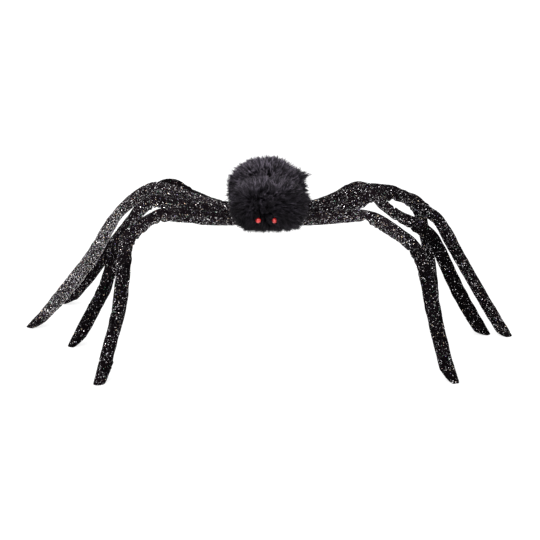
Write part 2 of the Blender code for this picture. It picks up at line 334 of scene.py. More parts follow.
# Shade of the streaks: the share that stay dark, both ranges, and how locks differ
DARK_STREAKS = 0.55
DARK_RANGE = (0.2, 0.5)
LIGHT_RANGE = (0.75, 1.5)
LOCK_SHADE = (0.8, 1.2)
# How strongly a tuft draws the strands round it, and from how far, in radians and against that
TUFT_PULL = 0.8
TUFT_SPREAD = (0.6, 1.0)
TUFT_REACH = 0.11
TUFT_EDGE = 1.3
# Whorls: the wide patches in which the fur lies one way
WHORLS = 40
WHORL_TILT = 0.3
CORE_DEPTH = 12.0
CORE_SUBDIVISIONS = 5
# The waist lies at y = 0: how far the cores and the roots of the fur stay from it, and how far the
# tips may reach past it
CORE_WAIST = 0.5
ROOT_WAIST = 1.0
TIP_WAIST = 4.0
# Clear space between the roots of the fur and the legs
LEG_CLEAR = 0.5

# Bead eyes
EYE_RADIUS = 4.0
EYE_SEGMENTS = 48
EYE_RINGS = 32
EYE_X = 11.5
EYE_Y = -84
EYE_Z = 223
# Radius around each bead that the fur leaves free, right and left, how much higher than the
# bead's middle that lies, and the least distance from there that is reckoned with
EYE_CLEAR = {-1: 2.5, 1: 2.2}
EYE_CLEAR_RISE = 0.45
EYE_NEAREST = 0.3


def new_object(name, data):
    obj = bpy.data.objects.new(name, data)
    bpy.context.scene.collection.objects.link(obj)
    return obj


def new_mesh_object(name, vertices, face_sizes, face_corners, smooth=True):
    """An object from arrays: vertices in millimetres, corner counts and corner indices."""
    mesh = bpy.data.meshes.new(name)
    mesh.vertices.add(len(vertices))
    mesh.vertices.foreach_set("co", (np.asarray(vertices) * MM).astype(np.float32).ravel())
    mesh.loops.add(len(face_corners))
    mesh.loops.foreach_set("vertex_index", np.asarray(face_corners, dtype=np.int32))
    mesh.polygons.add(len(face_sizes))
    starts = np.concatenate(([0], np.cumsum(face_sizes)[:-1])).astype(np.int32)
    mesh.polygons.foreach_set("loop_start", starts)
    mesh.polygons.foreach_set("loop_total", np.asarray(face_sizes, dtype=np.int32))
    mesh.update(calc_edges=True)
    mesh.polygons.foreach_set("use_smooth", np.full(len(face_sizes), smooth))
    mesh.validate()
    return new_object(name, mesh)


def bmesh_object(name, bm):
    """A smooth object from a bmesh, which is freed."""
    mesh = bpy.data.meshes.new(name)
    bm.to_mesh(mesh)
    bm.free()
    mesh.polygons.foreach_set("use_smooth", np.full(len(mesh.polygons), True))
    return new_object(name, mesh)


def store(obj, name, values):
    """Keeps a number for each point, which the material reads."""
    attribute = obj.data.attributes.new(name, "FLOAT", "POINT")
    attribute.data.foreach_set("value", values.astype(np.float32))


def unit(vectors):
    return vectors / np.linalg.norm(vectors, axis=-1, keepdims=True)


def smooth_step(values):
    values = np.clip(values, 0, 1)
    return values * values * (3 - 2 * values)


def running_mean(count):
    """Weights of a mean over that many neighbours, which fall to both sides."""
    weights = np.hanning(count)
    return weights / weights.sum()


def triangle(first, second):
    """Three directions, a third of a turn apart, in the plane of two others."""
    turns = 2 * math.pi * np.arange(3) / 3
    return [first * math.cos(turn) + second * math.sin(turn) for turn in turns]


# Materials

class Nodes:
    """Short calls for building a material's nodes."""

    def __init__(self, name):
        self.material = bpy.data.materials.new(name)
        self.material.use_nodes = True
        self.tree = self.material.node_tree

    def add(self, kind, **settings):
        node = self.tree.nodes.new(kind)
        for key, value in settings.items():
            setattr(node, key, value)
        return node

    def feed(self, node, values):
        """Links or sets a node's inputs, by their names or numbers."""
        for key, value in values.items():
            if isinstance(value, bpy.types.NodeSocket):
                self.tree.links.new(value, node.inputs[key])
            elif isinstance(value, tuple):
                node.inputs[key].default_value = (*value, 1.0)
            else:
                node.inputs[key].default_value = value

    def surface(self, values):
        """Feeds the material's shader."""
        self.feed(self.tree.nodes["Principled BSDF"], values)
        return self.material

    def stored(self, name):
        """The number that the mesh keeps for each point."""
        return self.add("ShaderNodeAttribute", attribute_name=name).outputs["Fac"]

    def place(self):
        """Position on the piece, in metres."""
        return self.add("ShaderNodeTexCoord").outputs["Object"]

    def number(self, operation, first, second):
        node = self.add("ShaderNodeMath", operation=operation)
        self.feed(node, {0: first, 1: second})
        return node.outputs[0]

    def noise(self, size, detail):
        """Noise with features of that size in millimetres."""
        node = self.add("ShaderNodeTexNoise")
        self.feed(node, {"Scale": 1 / (size * MM), "Detail": detail, "Vector": self.place()})
        return node.outputs["Fac"]

    def cells(self, size):
        """Cells of that size in millimetres, each with a random colour."""
        node = self.add("ShaderNodeTexVoronoi")
        self.feed(node, {"Scale": 1 / (size * MM), "Vector": self.place()})
        return node

    def ramp(self, source, stops, steps=False):
        node = self.add("ShaderNodeValToRGB")
        ramp = node.color_ramp
        ramp.interpolation = "CONSTANT" if steps else "LINEAR"
        while len(ramp.elements) < len(stops):
            ramp.elements.new(1.0)
        for element, (position, colour) in zip(ramp.elements, stops):
            element.position = position
            element.color = (*colour, 1.0)
        self.feed(node, {"Fac": source})
        return node.outputs["Color"]

    def mix(self, share, first, second, kind="MIX"):
        node = self.add("ShaderNodeMix", data_type="RGBA", blend_type=kind)
        self.feed(node, {0: share, 6: first, 7: second})
        return node.outputs[2]

    def bump(self, height, distance, strength):
        node = self.add("ShaderNodeBump")
        self.feed(node, {"Height": height, "Distance": distance * MM, "Strength": strength})
        return node


# Colours of glitter, from the dullest flakes to the brightest. Each starts at that share.
GLITTER_STOPS = [
    (0.0, (0.09, 0.085, 0.09)), (0.25, (0.22, 0.21, 0.22)), (0.45, (0.44, 0.42, 0.43)),
    (0.60, (0.60, 0.40, 0.40)), (0.635, (0.32, 0.56, 0.42)), (0.665, (0.44, 0.38, 0.66)),
    (0.695, (0.74, 0.71, 0.74)), (0.85, (0.98, 0.80, 0.60)), (0.88, (1.0, 0.98, 1.0)),
]


def glitter_fabric():
    """Thin black knit dusted with fine glitter."""
    nodes = Nodes("glitter_fabric_cloth")
    shade = nodes.noise(14, 4)
    colour = nodes.ramp(shade, [(0.3, (0.0013, 0.0009, 0.0013)), (0.7, (0.0048, 0.0032, 0.0040))])
    # The stored glitter is lower where painted shade leaves it off, so the cloth is darker there
    glitter_dust_and_shade = nodes.stored("glitter_dust_and_shade")
    greyed = nodes.number("MINIMUM", nodes.number("MULTIPLY", glitter_dust_and_shade, FINE_GREY), FINE_GREY_MOST)
    colour = nodes.mix(1.0, colour, greyed, "MULTIPLY")
    patch = nodes.ramp(nodes.noise(9, 3), [(0.35, (0.15, 0.15, 0.15)), (0.65, (1, 1, 1))])
    chosen = nodes.number("MULTIPLY", nodes.number("MULTIPLY", glitter_dust_and_shade, FINE_SHARE), patch)
    masks = []
    for size, width in FINE_GLITTER:
        cells = nodes.cells(size)
        mask = nodes.number("LESS_THAN", cells.outputs["Distance"], width)
        chance = nodes.add("ShaderNodeSeparateColor")
        nodes.feed(chance, {"Color": cells.outputs["Color"]})
        kept = nodes.number("LESS_THAN", chance.outputs["Green"], chosen)
        mask = nodes.number("MULTIPLY", mask, kept)
        speck = nodes.ramp(chance.outputs["Red"], GLITTER_STOPS, steps=True)
        colour = nodes.mix(mask, colour, speck)
        masks.append(mask)
    shine = nodes.number("MAXIMUM", *masks)
    soft = nodes.bump(nodes.noise(5, 3), 0.5, 0.5)
    knit = nodes.bump(nodes.cells(0.75).outputs["Distance"], 0.25, 0.6)
    nodes.feed(knit, {"Normal": soft.outputs[0]})
    return nodes.surface({
        "Base Color": colour, "Metallic": nodes.number("MULTIPLY", shine, 0.8),
        "Roughness": nodes.number("SUBTRACT", 0.75, nodes.number("MULTIPLY", shine, 0.45)),
        "Normal": knit.outputs[0], "Specular IOR Level": 0.01,
    })


def glitter_flakes():
    """Loose metal flakes, each of one colour, by the brightness that it carries."""
    nodes = Nodes("glitter_flakes")
    shade = nodes.ramp(nodes.stored("tone"), GLITTER_STOPS, steps=True)
    return nodes.surface({"Base Color": shade, "Metallic": 0.85, "Roughness": 0.2})


def fur_material():
    """Charcoal fibre. The strands carry a stored shade: their random tone, with painted shade dark
    at the root and painted light on the tips and on the lit regions.
    """
    nodes = Nodes("black_plush_fibre")
    # The dark end of the ramp is painted shade at the roots, the light end painted light on lit tips
    fibre = nodes.ramp(nodes.stored("shade"), [
        (0.0, (0.0012, 0.0010, 0.0015)), (0.5, (0.050, 0.0445, 0.056)), (1.0, (0.36, 0.320, 0.39))])
    patch = nodes.ramp(nodes.noise(15, 2), [(0.3, (0.72, 0.71, 0.70)), (0.7, (1.2, 1.17, 1.23))])
    shade = nodes.mix(1.0, fibre, patch, "MULTIPLY")
    return nodes.surface({"Base Color": shade, "Roughness": 0.5, "Specular IOR Level": 0.12})


def core_material():
    """Knitted backing of the plush, nearly hidden by the fur."""
    nodes = Nodes("plush_backing")
    shade = nodes.ramp(nodes.noise(3, 4), [
        (0.3, (0.002, 0.0018, 0.0024)), (0.7, (0.006, 0.0054, 0.0068))])
    knit = nodes.bump(nodes.noise(1.2, 4), 1.5, 1.0)
    return nodes.surface({
        "Base Color": shade, "Normal": knit.outputs[0], "Roughness": 0.95,
        "Specular IOR Level": 0.05,
    })


def bead_material():
    """Glossy coral red plastic."""
    nodes = Nodes("red_bead_gloss")
    shade = nodes.ramp(nodes.noise(2.5, 2), [
        (0.3, (0.58, 0.012, 0.012)), (0.7, (0.70, 0.020, 0.017))])
    uneven = nodes.bump(nodes.noise(0.8, 2), 0.02, 0.3)
    return nodes.surface({
        "Base Color": shade, "Normal": uneven.outputs[0], "Roughness": 0.16,
        "Specular IOR Level": 0.6, "Coat Weight": 0.7, "Coat Roughness": 0.06,
        "Subsurface Weight": 0.15, "Subsurface Scale": 0.001,
    })


def floor_material():
    """Pale floor, lit from inside like a light table, so its shadows stay faint."""
    nodes = Nodes("pale_floor")
    shade = nodes.ramp(nodes.noise(300, 2), [(0.0, (0.29, 0.29, 0.293)), (1.0, (0.3, 0.3, 0.3))])
    return nodes.surface({
        "Base Color": shade, "Emission Color": (1.0, 1.0, 1.0), "Emission Strength": FLOOR_GLOW,
        "Roughness": 0.9, "Specular IOR Level": 0.1,
    })


# Legs

def leg_curve(rows):
    """Positions, inner thickness and distance along a leg, evenly spaced."""
    rows = np.array(rows, dtype=float)
    fine = []
    share = np.arange(SPLINE_STEPS)[:, None] / SPLINE_STEPS
    for index in range(len(rows) - 1):
        a = rows[max(index - 1, 0)]
        b = rows[index]
        c = rows[index + 1]
        d = rows[min(index + 2, len(rows) - 1)]
        fine.append(0.5 * (
            2 * b + (c - a) * share + (2 * a - 5 * b + 4 * c - d) * share ** 2
            + (3 * b - a - 3 * c + d) * share ** 3))
    fine = np.vstack(fine + [rows[-1:]])
    steps = np.linalg.norm(np.diff(fine[:, :3], axis=0), axis=1)
    distances = np.concatenate(([0.0], np.cumsum(steps)))
    count = round(distances[-1] / RING_SPACING)
    along = np.linspace(0, distances[-1], count + 1)
    columns = [np.interp(along, distances, fine[:, column]) for column in range(4)]
    return np.stack(columns[:3], axis=1), columns[3], along


def leg_surface(name, rows):
    """Points of a leg's cloth, ring by ring, and the rings' distances along the leg."""
    rng = np.random.default_rng(LEG_SEED + sorted(LEG_ROWS).index(name))
    centre, inner, along = leg_curve(rows)
    length = along[-1]
    outwards = centre[-1] - np.array(rows[1][:3])
    outwards[2] = 0
    outwards = unit(outwards)
    plane_side = np.array((-outwards[1], outwards[0], 0))
    root_side = np.array((0, 1.0 if outwards[0] > 0 else -1.0, 0))
    tangent = unit(np.gradient(centre, axis=0))
    turn = smooth_step((along - LEG_ROOT_STRAIGHT) / LEG_ROOT_LENGTH)[:, None]
    side = root_side * (1 - turn) + plane_side * turn
    side = unit(side - tangent * np.sum(side * tangent, axis=1, keepdims=True))
    outer_way = unit(np.cross(tangent, side))
    outer_way *= np.where(outer_way[:, 2:] < 0, -1, 1)
    grown = smooth_step(along / LEG_ROOT_LENGTH)
    half_side = LEG_SIDE_ROOT + (LEG_SIDE - LEG_SIDE_ROOT) * grown
    outer = LEG_OUTER_ROOT + (LEG_OUTER - LEG_OUTER_ROOT) * grown

    tip = np.clip(1 - (length - along) / TIP_LENGTH, 0, 1)
    level = unit(outer_way * (1 - tip[:, None]) + outwards * tip[:, None])
    stretch = 1 / np.maximum(np.sum(level * outer_way, axis=1), 0.5)
    outer = outer * np.where(tip > 0, stretch * (1 - (1 - SOLE_OUTER) * tip ** 3), 1)
    inner = inner * np.where(tip > 0, stretch * (1 - (1 - SOLE_INNER) * tip ** 3), 1)
    outer_way = np.where(tip[:, None] > 0, level, outer_way)
    side = np.where(tip[:, None] > 0, plane_side, side)
    closing = np.clip(1 - (length - along) / TIP_CLOSING, 0, 1)
    half_side = half_side * np.sqrt(np.maximum(1 - closing ** TIP_ROUNDNESS, TIP_SEAM ** 2))

    height = np.cos(RING_ANGLES)[None, :]
    width = np.sin(RING_ANGLES)[None, :]
    reach = np.where(height > 0, outer[:, None], inner[:, None])
    ahead = np.repeat(along[:, None], RING_SIDES, axis=1)
    flat_tube = np.stack((height * reach, width * half_side[:, None], ahead), axis=-1)
    points = (centre[:, None, :] + outer_way[:, None, :] * (height * reach)[..., None]
              + side[:, None, :] * (width * half_side[:, None])[..., None])
    normals = unit(outer_way[:, None, :] * (height / reach)[..., None]
                   + side[:, None, :] * (width / half_side[:, None])[..., None])

    # Uneven stuffing: a sum of long waves round and along the leg
    lumps = np.zeros_like(points[..., 0])
    for _ in range(LUMP_WAVES):
        wave = 2 * math.pi * along / rng.uniform(*LUMP_LENGTHS)
        turns = rng.integers(0, LUMP_TURNS)
        start = rng.uniform(0, 2 * math.pi)
        strength = rng.uniform(*LUMP_STRENGTHS)
        lumps += np.sin(wave[:, None] + turns * RING_ANGLES[None, :] + start) * strength
    lumps *= LUMP_HEIGHT / LUMP_SUM

    # Creases across the short side of a bend, rounded lumps between them
    bend = np.gradient(tangent, axis=0) / np.gradient(along)[:, None]
    weights = running_mean(BEND_RINGS)
    bend = np.stack([np.convolve(bend[:, axis], weights, "same") for axis in range(3)], axis=1)
    towards = np.sum(bend[:, None, :] * normals, axis=2)
    fold = np.clip(towards / FULL_BEND, 0, 1)
    wander = CREASE_WANDER * np.sin(along / CREASE_WANDER_LENGTH + rng.uniform(0, 6))
    warp = along + wander + rng.uniform(0, CREASE_SPACING)
    slant = warp[:, None] + CREASE_SLANT * width * rng.choice((-1, 1))
    crest = np.abs(np.sin(math.pi * slant / CREASE_SPACING)) ** CREASE_ROUNDNESS
    creases = fold * (crest - CREASE_LEVEL) * CREASE_DEPTH

    # Pinches where the leg is folded over, each with a roll on both sides. None is on the first
    # eighth, which is in the body.
    inner_side = np.clip(PINCH_FROM - height, 0, 1) ** CREASE_ROUNDNESS
    beyond = np.arange(len(along)) > len(along) // 8
    for place_x, depth in PINCHES[name]:
        place = along[beyond][np.argmin(np.abs(centre[beyond, 0] - place_x))]
        away = along - place
        groove = depth * np.exp(-0.5 * (away / PINCH_WIDTH) ** 2)
        roll = ROLL_SHARE * depth * np.exp(-0.5 * ((np.abs(away) - ROLL_PLACE) / ROLL_WIDTH) ** 2)
        creases = creases + (roll - groove)[:, None] * inner_side

    # The seam runs along the inner side in a shallow groove
    pucker = 1 + PUCKER_SHARE * np.sin(2 * math.pi * along / PUCKER_SPACING)
    seam = np.exp(-(((RING_ANGLES - math.pi) / SEAM_WIDTH) ** 2))
    creases = creases - SEAM_DEPTH * pucker[:, None] * seam[None, :]

    fade = (1 - tip)[:, None]
    points = points + normals * ((lumps + creases) * fade)[..., None]

    # The slanted foot is cut off along a line that rises from its outer point
    flat, slope = FOOT_CUT[name]
    reach_in = np.sum((centre[-1] - points) * outwards, axis=2) + outer[-1]
    reach_in = reach_in / (outer[-1] + inner[-1])
    cut = slope * np.clip(reach_in - flat, 0, 1) ** FOOT_CURVE
    points[..., 2] = np.maximum(points[..., 2], cut)
    points = points + CENTRE_SHIFT
    points = settle(points, flat_tube, along)
    return points, along


def settle(points, flat_tube, along):
    """Cloth simulation of a leg, a tube that was sewn straight and is loose inside its bends.

    The even swelling and shift are taken out of the result. The wrinkles are kept, and the leg
    stays where the photograph shows it. The temporary tube is removed with its simulation."""
    rings = len(points)
    ends = [points[0].mean(axis=0), points[-1].mean(axis=0)]
    sizes, corners = grid_faces(rings, RING_SIDES)
    vertices = np.vstack((points.reshape(-1, 3), ends)) * CLOTH_SCALE / MM
    tube = new_mesh_object("tube", vertices, sizes, corners)
    face_out(tube)
    held_rings = (along < CLOTH_HELD_ROOT) | (along > along[-1] - CLOTH_HELD_FOOT)
    held = tube.vertex_groups.new(name="held")
    held_points = np.append(np.repeat(held_rings, RING_SIDES), (True, True))
    held.add(np.flatnonzero(held_points).tolist(), 1.0, "REPLACE")

    # Spare cloth: how much longer each stretch of the straight tube is than the bent one. The
    # group "tight" says where there is none, and shrinking by less than nothing lets cloth out.
    bent = np.linalg.norm(np.diff(points, axis=0), axis=2)
    straight = np.linalg.norm(np.diff(flat_tube, axis=0), axis=2)
    spare = np.clip(straight / bent - 1, 0, CLOTH_SPARE_MOST)
    spare = np.vstack((spare[:1], (spare[1:] + spare[:-1]) / 2, spare[-1:]))
    spare[held_rings] = 0
    most = float(spare.max())
    tight = tube.vertex_groups.new(name="tight")
    tight.add([len(vertices) - 2, len(vertices) - 1], 1.0, "REPLACE")
    for index, share in enumerate((1 - spare / most).ravel()):
        tight.add([index], float(share), "REPLACE")

    modifier = tube.modifiers.new("stuffing", "CLOTH")
    settings = modifier.settings
    settings.quality = CLOTH_QUALITY
    settings.tension_stiffness = CLOTH_STIFFNESS
    settings.compression_stiffness = CLOTH_STIFFNESS
    settings.shear_stiffness = CLOTH_SHEAR
    settings.bending_stiffness = CLOTH_BENDING
    settings.use_pressure = True
    settings.uniform_pressure_force = CLOTH_PRESSURE
    settings.vertex_group_mass = "held"
    settings.vertex_group_shrink = "tight"
    settings.shrink_min = -most
    settings.shrink_max = 0.0
    settings.effector_weights.gravity = 0
    modifier.point_cache.frame_start = 1
    modifier.point_cache.frame_end = CLOTH_FRAMES
    scene = bpy.context.scene
    for step in range(1, CLOTH_FRAMES + 1):
        scene.frame_set(step)
    settled = tube.evaluated_get(bpy.context.evaluated_depsgraph_get()).data
    result = np.empty(len(settled.vertices) * 3, dtype=np.float32)
    settled.vertices.foreach_get("co", result)
    scene.frame_set(1)
    mesh = tube.data
    bpy.data.objects.remove(tube)
    bpy.data.meshes.remove(mesh)

    moved = result.reshape(-1, 3)[:-2].reshape(points.shape) / CLOTH_SCALE - points
    moved -= np.apply_along_axis(np.convolve, 0, moved, running_mean(CLOTH_EVEN_RINGS), "same")
    length = np.linalg.norm(moved, axis=2, keepdims=True)
    moved *= np.minimum(1, CLOTH_CAP / np.maximum(length, 1e-6))
    wrinkled = points + moved
    lowest = np.minimum(points[..., 2], CLOTH_LOWEST)
    wrinkled[..., 2] = np.maximum(wrinkled[..., 2], lowest)
    return wrinkled


def grid_faces(rings, sides):
    """Corner indices of quads round a tube of rings, with a middle corner at each end."""
    ring = np.arange(rings - 1)[:, None] * sides
    step = np.arange(sides)[None, :]
    other = (step + 1) % sides
    quads = np.stack((ring + step, ring + other, ring + sides + other, ring + sides + step), axis=-1)
    start = rings * sides
    end = start + 1
    last = (rings - 1) * sides
    first_cap = np.stack((np.full(sides, start), other[0], step[0]), axis=-1)
    last_cap = np.stack((np.full(sides, end), last + step[0], last + other[0]), axis=-1)
    corners = np.concatenate((quads.reshape(-1), first_cap.reshape(-1), last_cap.reshape(-1)))
    sizes = np.concatenate((np.full((rings - 1) * sides, 4), np.full(2 * sides, 3)))
    return sizes, corners


def glitter_share(name, along):
    """How rich the glitter is along a leg, against the average."""
    root_share, low_share = GLITTER_SHARE[name]
    start, end = GLITTER_CHANGE
    share = root_share + (low_share - root_share) * smooth_step((along - start) / (end - start))
    start, end = GLITTER_FOOT_REACH
    worn = smooth_step((along - along[-1] + start) / (start - end))
    return share + (GLITTER_FOOT.get(name, low_share) - low_share) * worn


def glitter_shade_gap(name, along, angles):
    """The share of a leg's glitter that is left off there, as painted shade."""
    start, end = GLITTER_CHANGE
    beside = 1 - smooth_step((along - start) / (end - start))
    upper = smooth_step((np.cos(angles) - SHADE_GAP_FROM) / SHADE_GAP_RISE)
    return GLITTER_SHADE_GAP.get(name, 0) * beside * upper


def make_leg(name, rows, cloth):
    points, along = leg_surface(name, rows)
    rings = len(points)
    vertices = np.concatenate((
        points.reshape(-1, 3), points[:1].mean(axis=1), points[-1:].mean(axis=1)))
    sizes, corners = grid_faces(rings, RING_SIDES)
    leg = new_mesh_object(name + "_cloth", vertices, sizes, corners)
    leg.data.materials.append(cloth)
    face_out(leg)
    share = glitter_share(name, along)
    # Glitter is left off the upper side beside the body, as painted shade
    shade_gap = glitter_shade_gap(name, along[:, None], RING_ANGLES[None, :])
    glitter_dust_and_shade = share[:, None] * (1 - SHADE_GAP_DUST * shade_gap)
    store(leg, "glitter_dust_and_shade", np.concatenate((glitter_dust_and_shade.ravel(), share[:1], share[-1:])))
    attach(leg, "root")
    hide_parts(name)
    return points, along


def face_out(obj):
    """Turns the faces outwards."""
    bm = bmesh.new()
    bm.from_mesh(obj.data)
    bmesh.ops.recalc_face_normals(bm, faces=bm.faces)
    bm.to_mesh(obj.data)
    bm.free()


def make_flakes(name, points, along, metal):
    """Three-cornered flakes stuck to a leg's cloth at random, each a flat pyramid sunk into it."""
    rng = np.random.default_rng(FLAKE_SEED + sorted(LEG_ROWS).index(name))
    share = np.cumsum(glitter_share(name, along))
    count = int(FLAKES_PER_LEG * share[-1] * RING_SPACING / AVERAGE_LEG)
    ring = np.interp(rng.uniform(0, share[-1], count), share, np.arange(len(along)))
    ring = np.minimum(ring, len(points) - 1.001)
    turn = rng.uniform(0, RING_SIDES, count)
    away = np.interp(ring, np.arange(len(along)), along)
    # Flakes are left off the upper side beside the body as well, as painted shade
    shade_gap = glitter_shade_gap(name, away, 2 * math.pi * turn / RING_SIDES)
    keep = rng.uniform(0, 1, count) >= shade_gap
    ring = ring[keep]
    turn = turn[keep]
    count = len(ring)
    low = ring.astype(int)
    first = turn.astype(int) % RING_SIDES
    second = (first + 1) % RING_SIDES
    share = (ring - low)[:, None]
    step = (turn - turn.astype(int))[:, None]
    corner = points[low, first] * (1 - step) + points[low, second] * step
    ahead = points[low + 1, first] * (1 - step) + points[low + 1, second] * step
    place = corner * (1 - share) + ahead * share
    forward = unit(ahead - corner)
    across = unit(points[low, second] - points[low, first])
    out = unit(np.cross(across, forward))
    middle = points[low].mean(axis=1)
    out *= np.where(np.sum(out * (place - middle), axis=1, keepdims=True) < 0, -1, 1)
    out = unit(out + rng.normal(0, FLAKE_TILT, (count, 3)))
    axis = unit(np.cross(out, rng.normal(0, 1, (count, 3))))
    other = np.cross(out, axis)
    tone = rng.uniform(0, 1, count)
    reach = FLAKE_REACH * (FLAKE_SMALL + FLAKE_GROWTH * tone ** 3)
    reach = reach * rng.uniform(*FLAKE_SPREAD, count)
    top = place + out * rng.uniform(*FLAKE_LIFT, count)[:, None]
    corners = [top + way * reach[:, None] for way in triangle(axis, other)]
    corners.append(place - out * FLAKE_ROOT)
    vertices = np.stack(corners, axis=1).reshape(-1, 3)
    vertices[:, 2] = np.maximum(vertices[:, 2], 0.0)
    pattern = np.array((0, 1, 2, 1, 0, 3, 2, 1, 3, 0, 2, 3))
    indices = (np.arange(count)[:, None] * 4 + pattern).reshape(-1)
    sizes = np.full(count * 4, 3)
    flakes = new_mesh_object(name + "_glitter", vertices, sizes, indices, smooth=False)
    store(flakes, "tone", np.repeat(tone, 4))
    flakes.data.materials.append(metal)
    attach(flakes, "root")


# Fur

def even_directions(count, rng, jitter):
    """Unit vectors spread evenly over the sphere, each moved a little at random."""
    index = np.arange(count)
    height = 1 - 2 * (index + 0.5) / count
    around = index * math.pi * (3 - math.sqrt(5))
    level = np.sqrt(1 - height ** 2)
    directions = np.stack((level * np.cos(around), level * np.sin(around), height), axis=1)
    spread = jitter * math.sqrt(4 * math.pi / count)
    return unit(directions + rng.normal(0, spread, (count, 3)))


def ball_radius(directions, ball):
    power = np.where(directions[:, 2] > 0, ball["up"], ball["down"])[:, None]
    ratio = np.abs(directions) / np.array(ball["half"], dtype=float)
    return np.sum(ratio ** power, axis=1) ** (-1 / power[:, 0])


def swelling(directions, ball):
    """Height of the uneven fur over the ball's even surface."""
    height = np.zeros(len(directions))
    for way, spread, rise in ball["swells"]:
        away = np.linalg.norm(directions - unit(np.array(way)), axis=1)
        height += rise * np.exp(-0.5 * (away / spread) ** 2)
    return height


def ball_normal(directions, ball):
    power = np.where(directions[:, 2] > 0, ball["up"], ball["down"])[:, None]
    half = np.array(ball["half"], dtype=float)
    ratio = np.abs(directions) / half
    return unit(np.sign(directions) * ratio ** (power - 1) / half)


def nearest(directions, centres):
    """Index of the nearest centre for each direction."""
    result = np.empty(len(directions), dtype=int)
    for start in range(0, len(directions), 3000):
        part = directions[start:start + 3000]
        result[start:start + 3000] = np.argmax(part @ centres.T, axis=1)
    return result


def fur_way(directions, ball, slant, tilt):
    """Direction in which a strand grows: off the ball, slanted away from the crown."""
    normal = ball_normal(directions, ball)
    flow = directions - unit(np.array(ball["crown"]))
    flow[:, 2] -= FUR_DROOP
    flow = flow + tilt
    flow -= normal * np.sum(flow * normal, axis=1, keepdims=True)
    flow /= np.maximum(np.linalg.norm(flow, axis=1, keepdims=True), FUR_SWEEP)
    angle = math.radians(slant)
    return unit(normal * math.cos(angle) + flow * math.sin(angle))


def painted_light_and_shade(directions, ball):
    """Painted light and shade of the plush: painted light on top, painted shade between the balls
    and on the face, darkest low on the spider's right and with painted light low on its left, all
    times the ball's painted light.

    Each step runs over a stretch of a direction's own parts, which go from -1 to 1."""
    across, ahead, up = directions.T
    top = smooth_step((up + 0.1) / 0.9)
    if ball is ABDOMEN:
        # Painted light on top, and painted shade towards the head where the balls meet
        shade = (0.72 + 0.38 * top) * (1 - 0.46 * smooth_step((0.35 - ahead) / 0.6))
    else:
        # Painted shade on the face, darkest low on the spider's right, with painted light low on its
        # left
        face = smooth_step((-ahead - 0.1) / 0.7) * (1 - smooth_step((up - 0.25) / 0.5))
        low_right = smooth_step((0.2 - across) / 0.6) * smooth_step((0.15 - up) / 0.5)
        low_left = smooth_step((across - 0.4) / 0.4) * smooth_step((0.4 - up) / 0.5)
        shade = (0.55 + 0.45 * top) * (1 - 0.2 * face)
        shade = shade * (1 - 0.55 * low_right) * (1 + 0.3 * low_left)
    return shade * ball["light"]


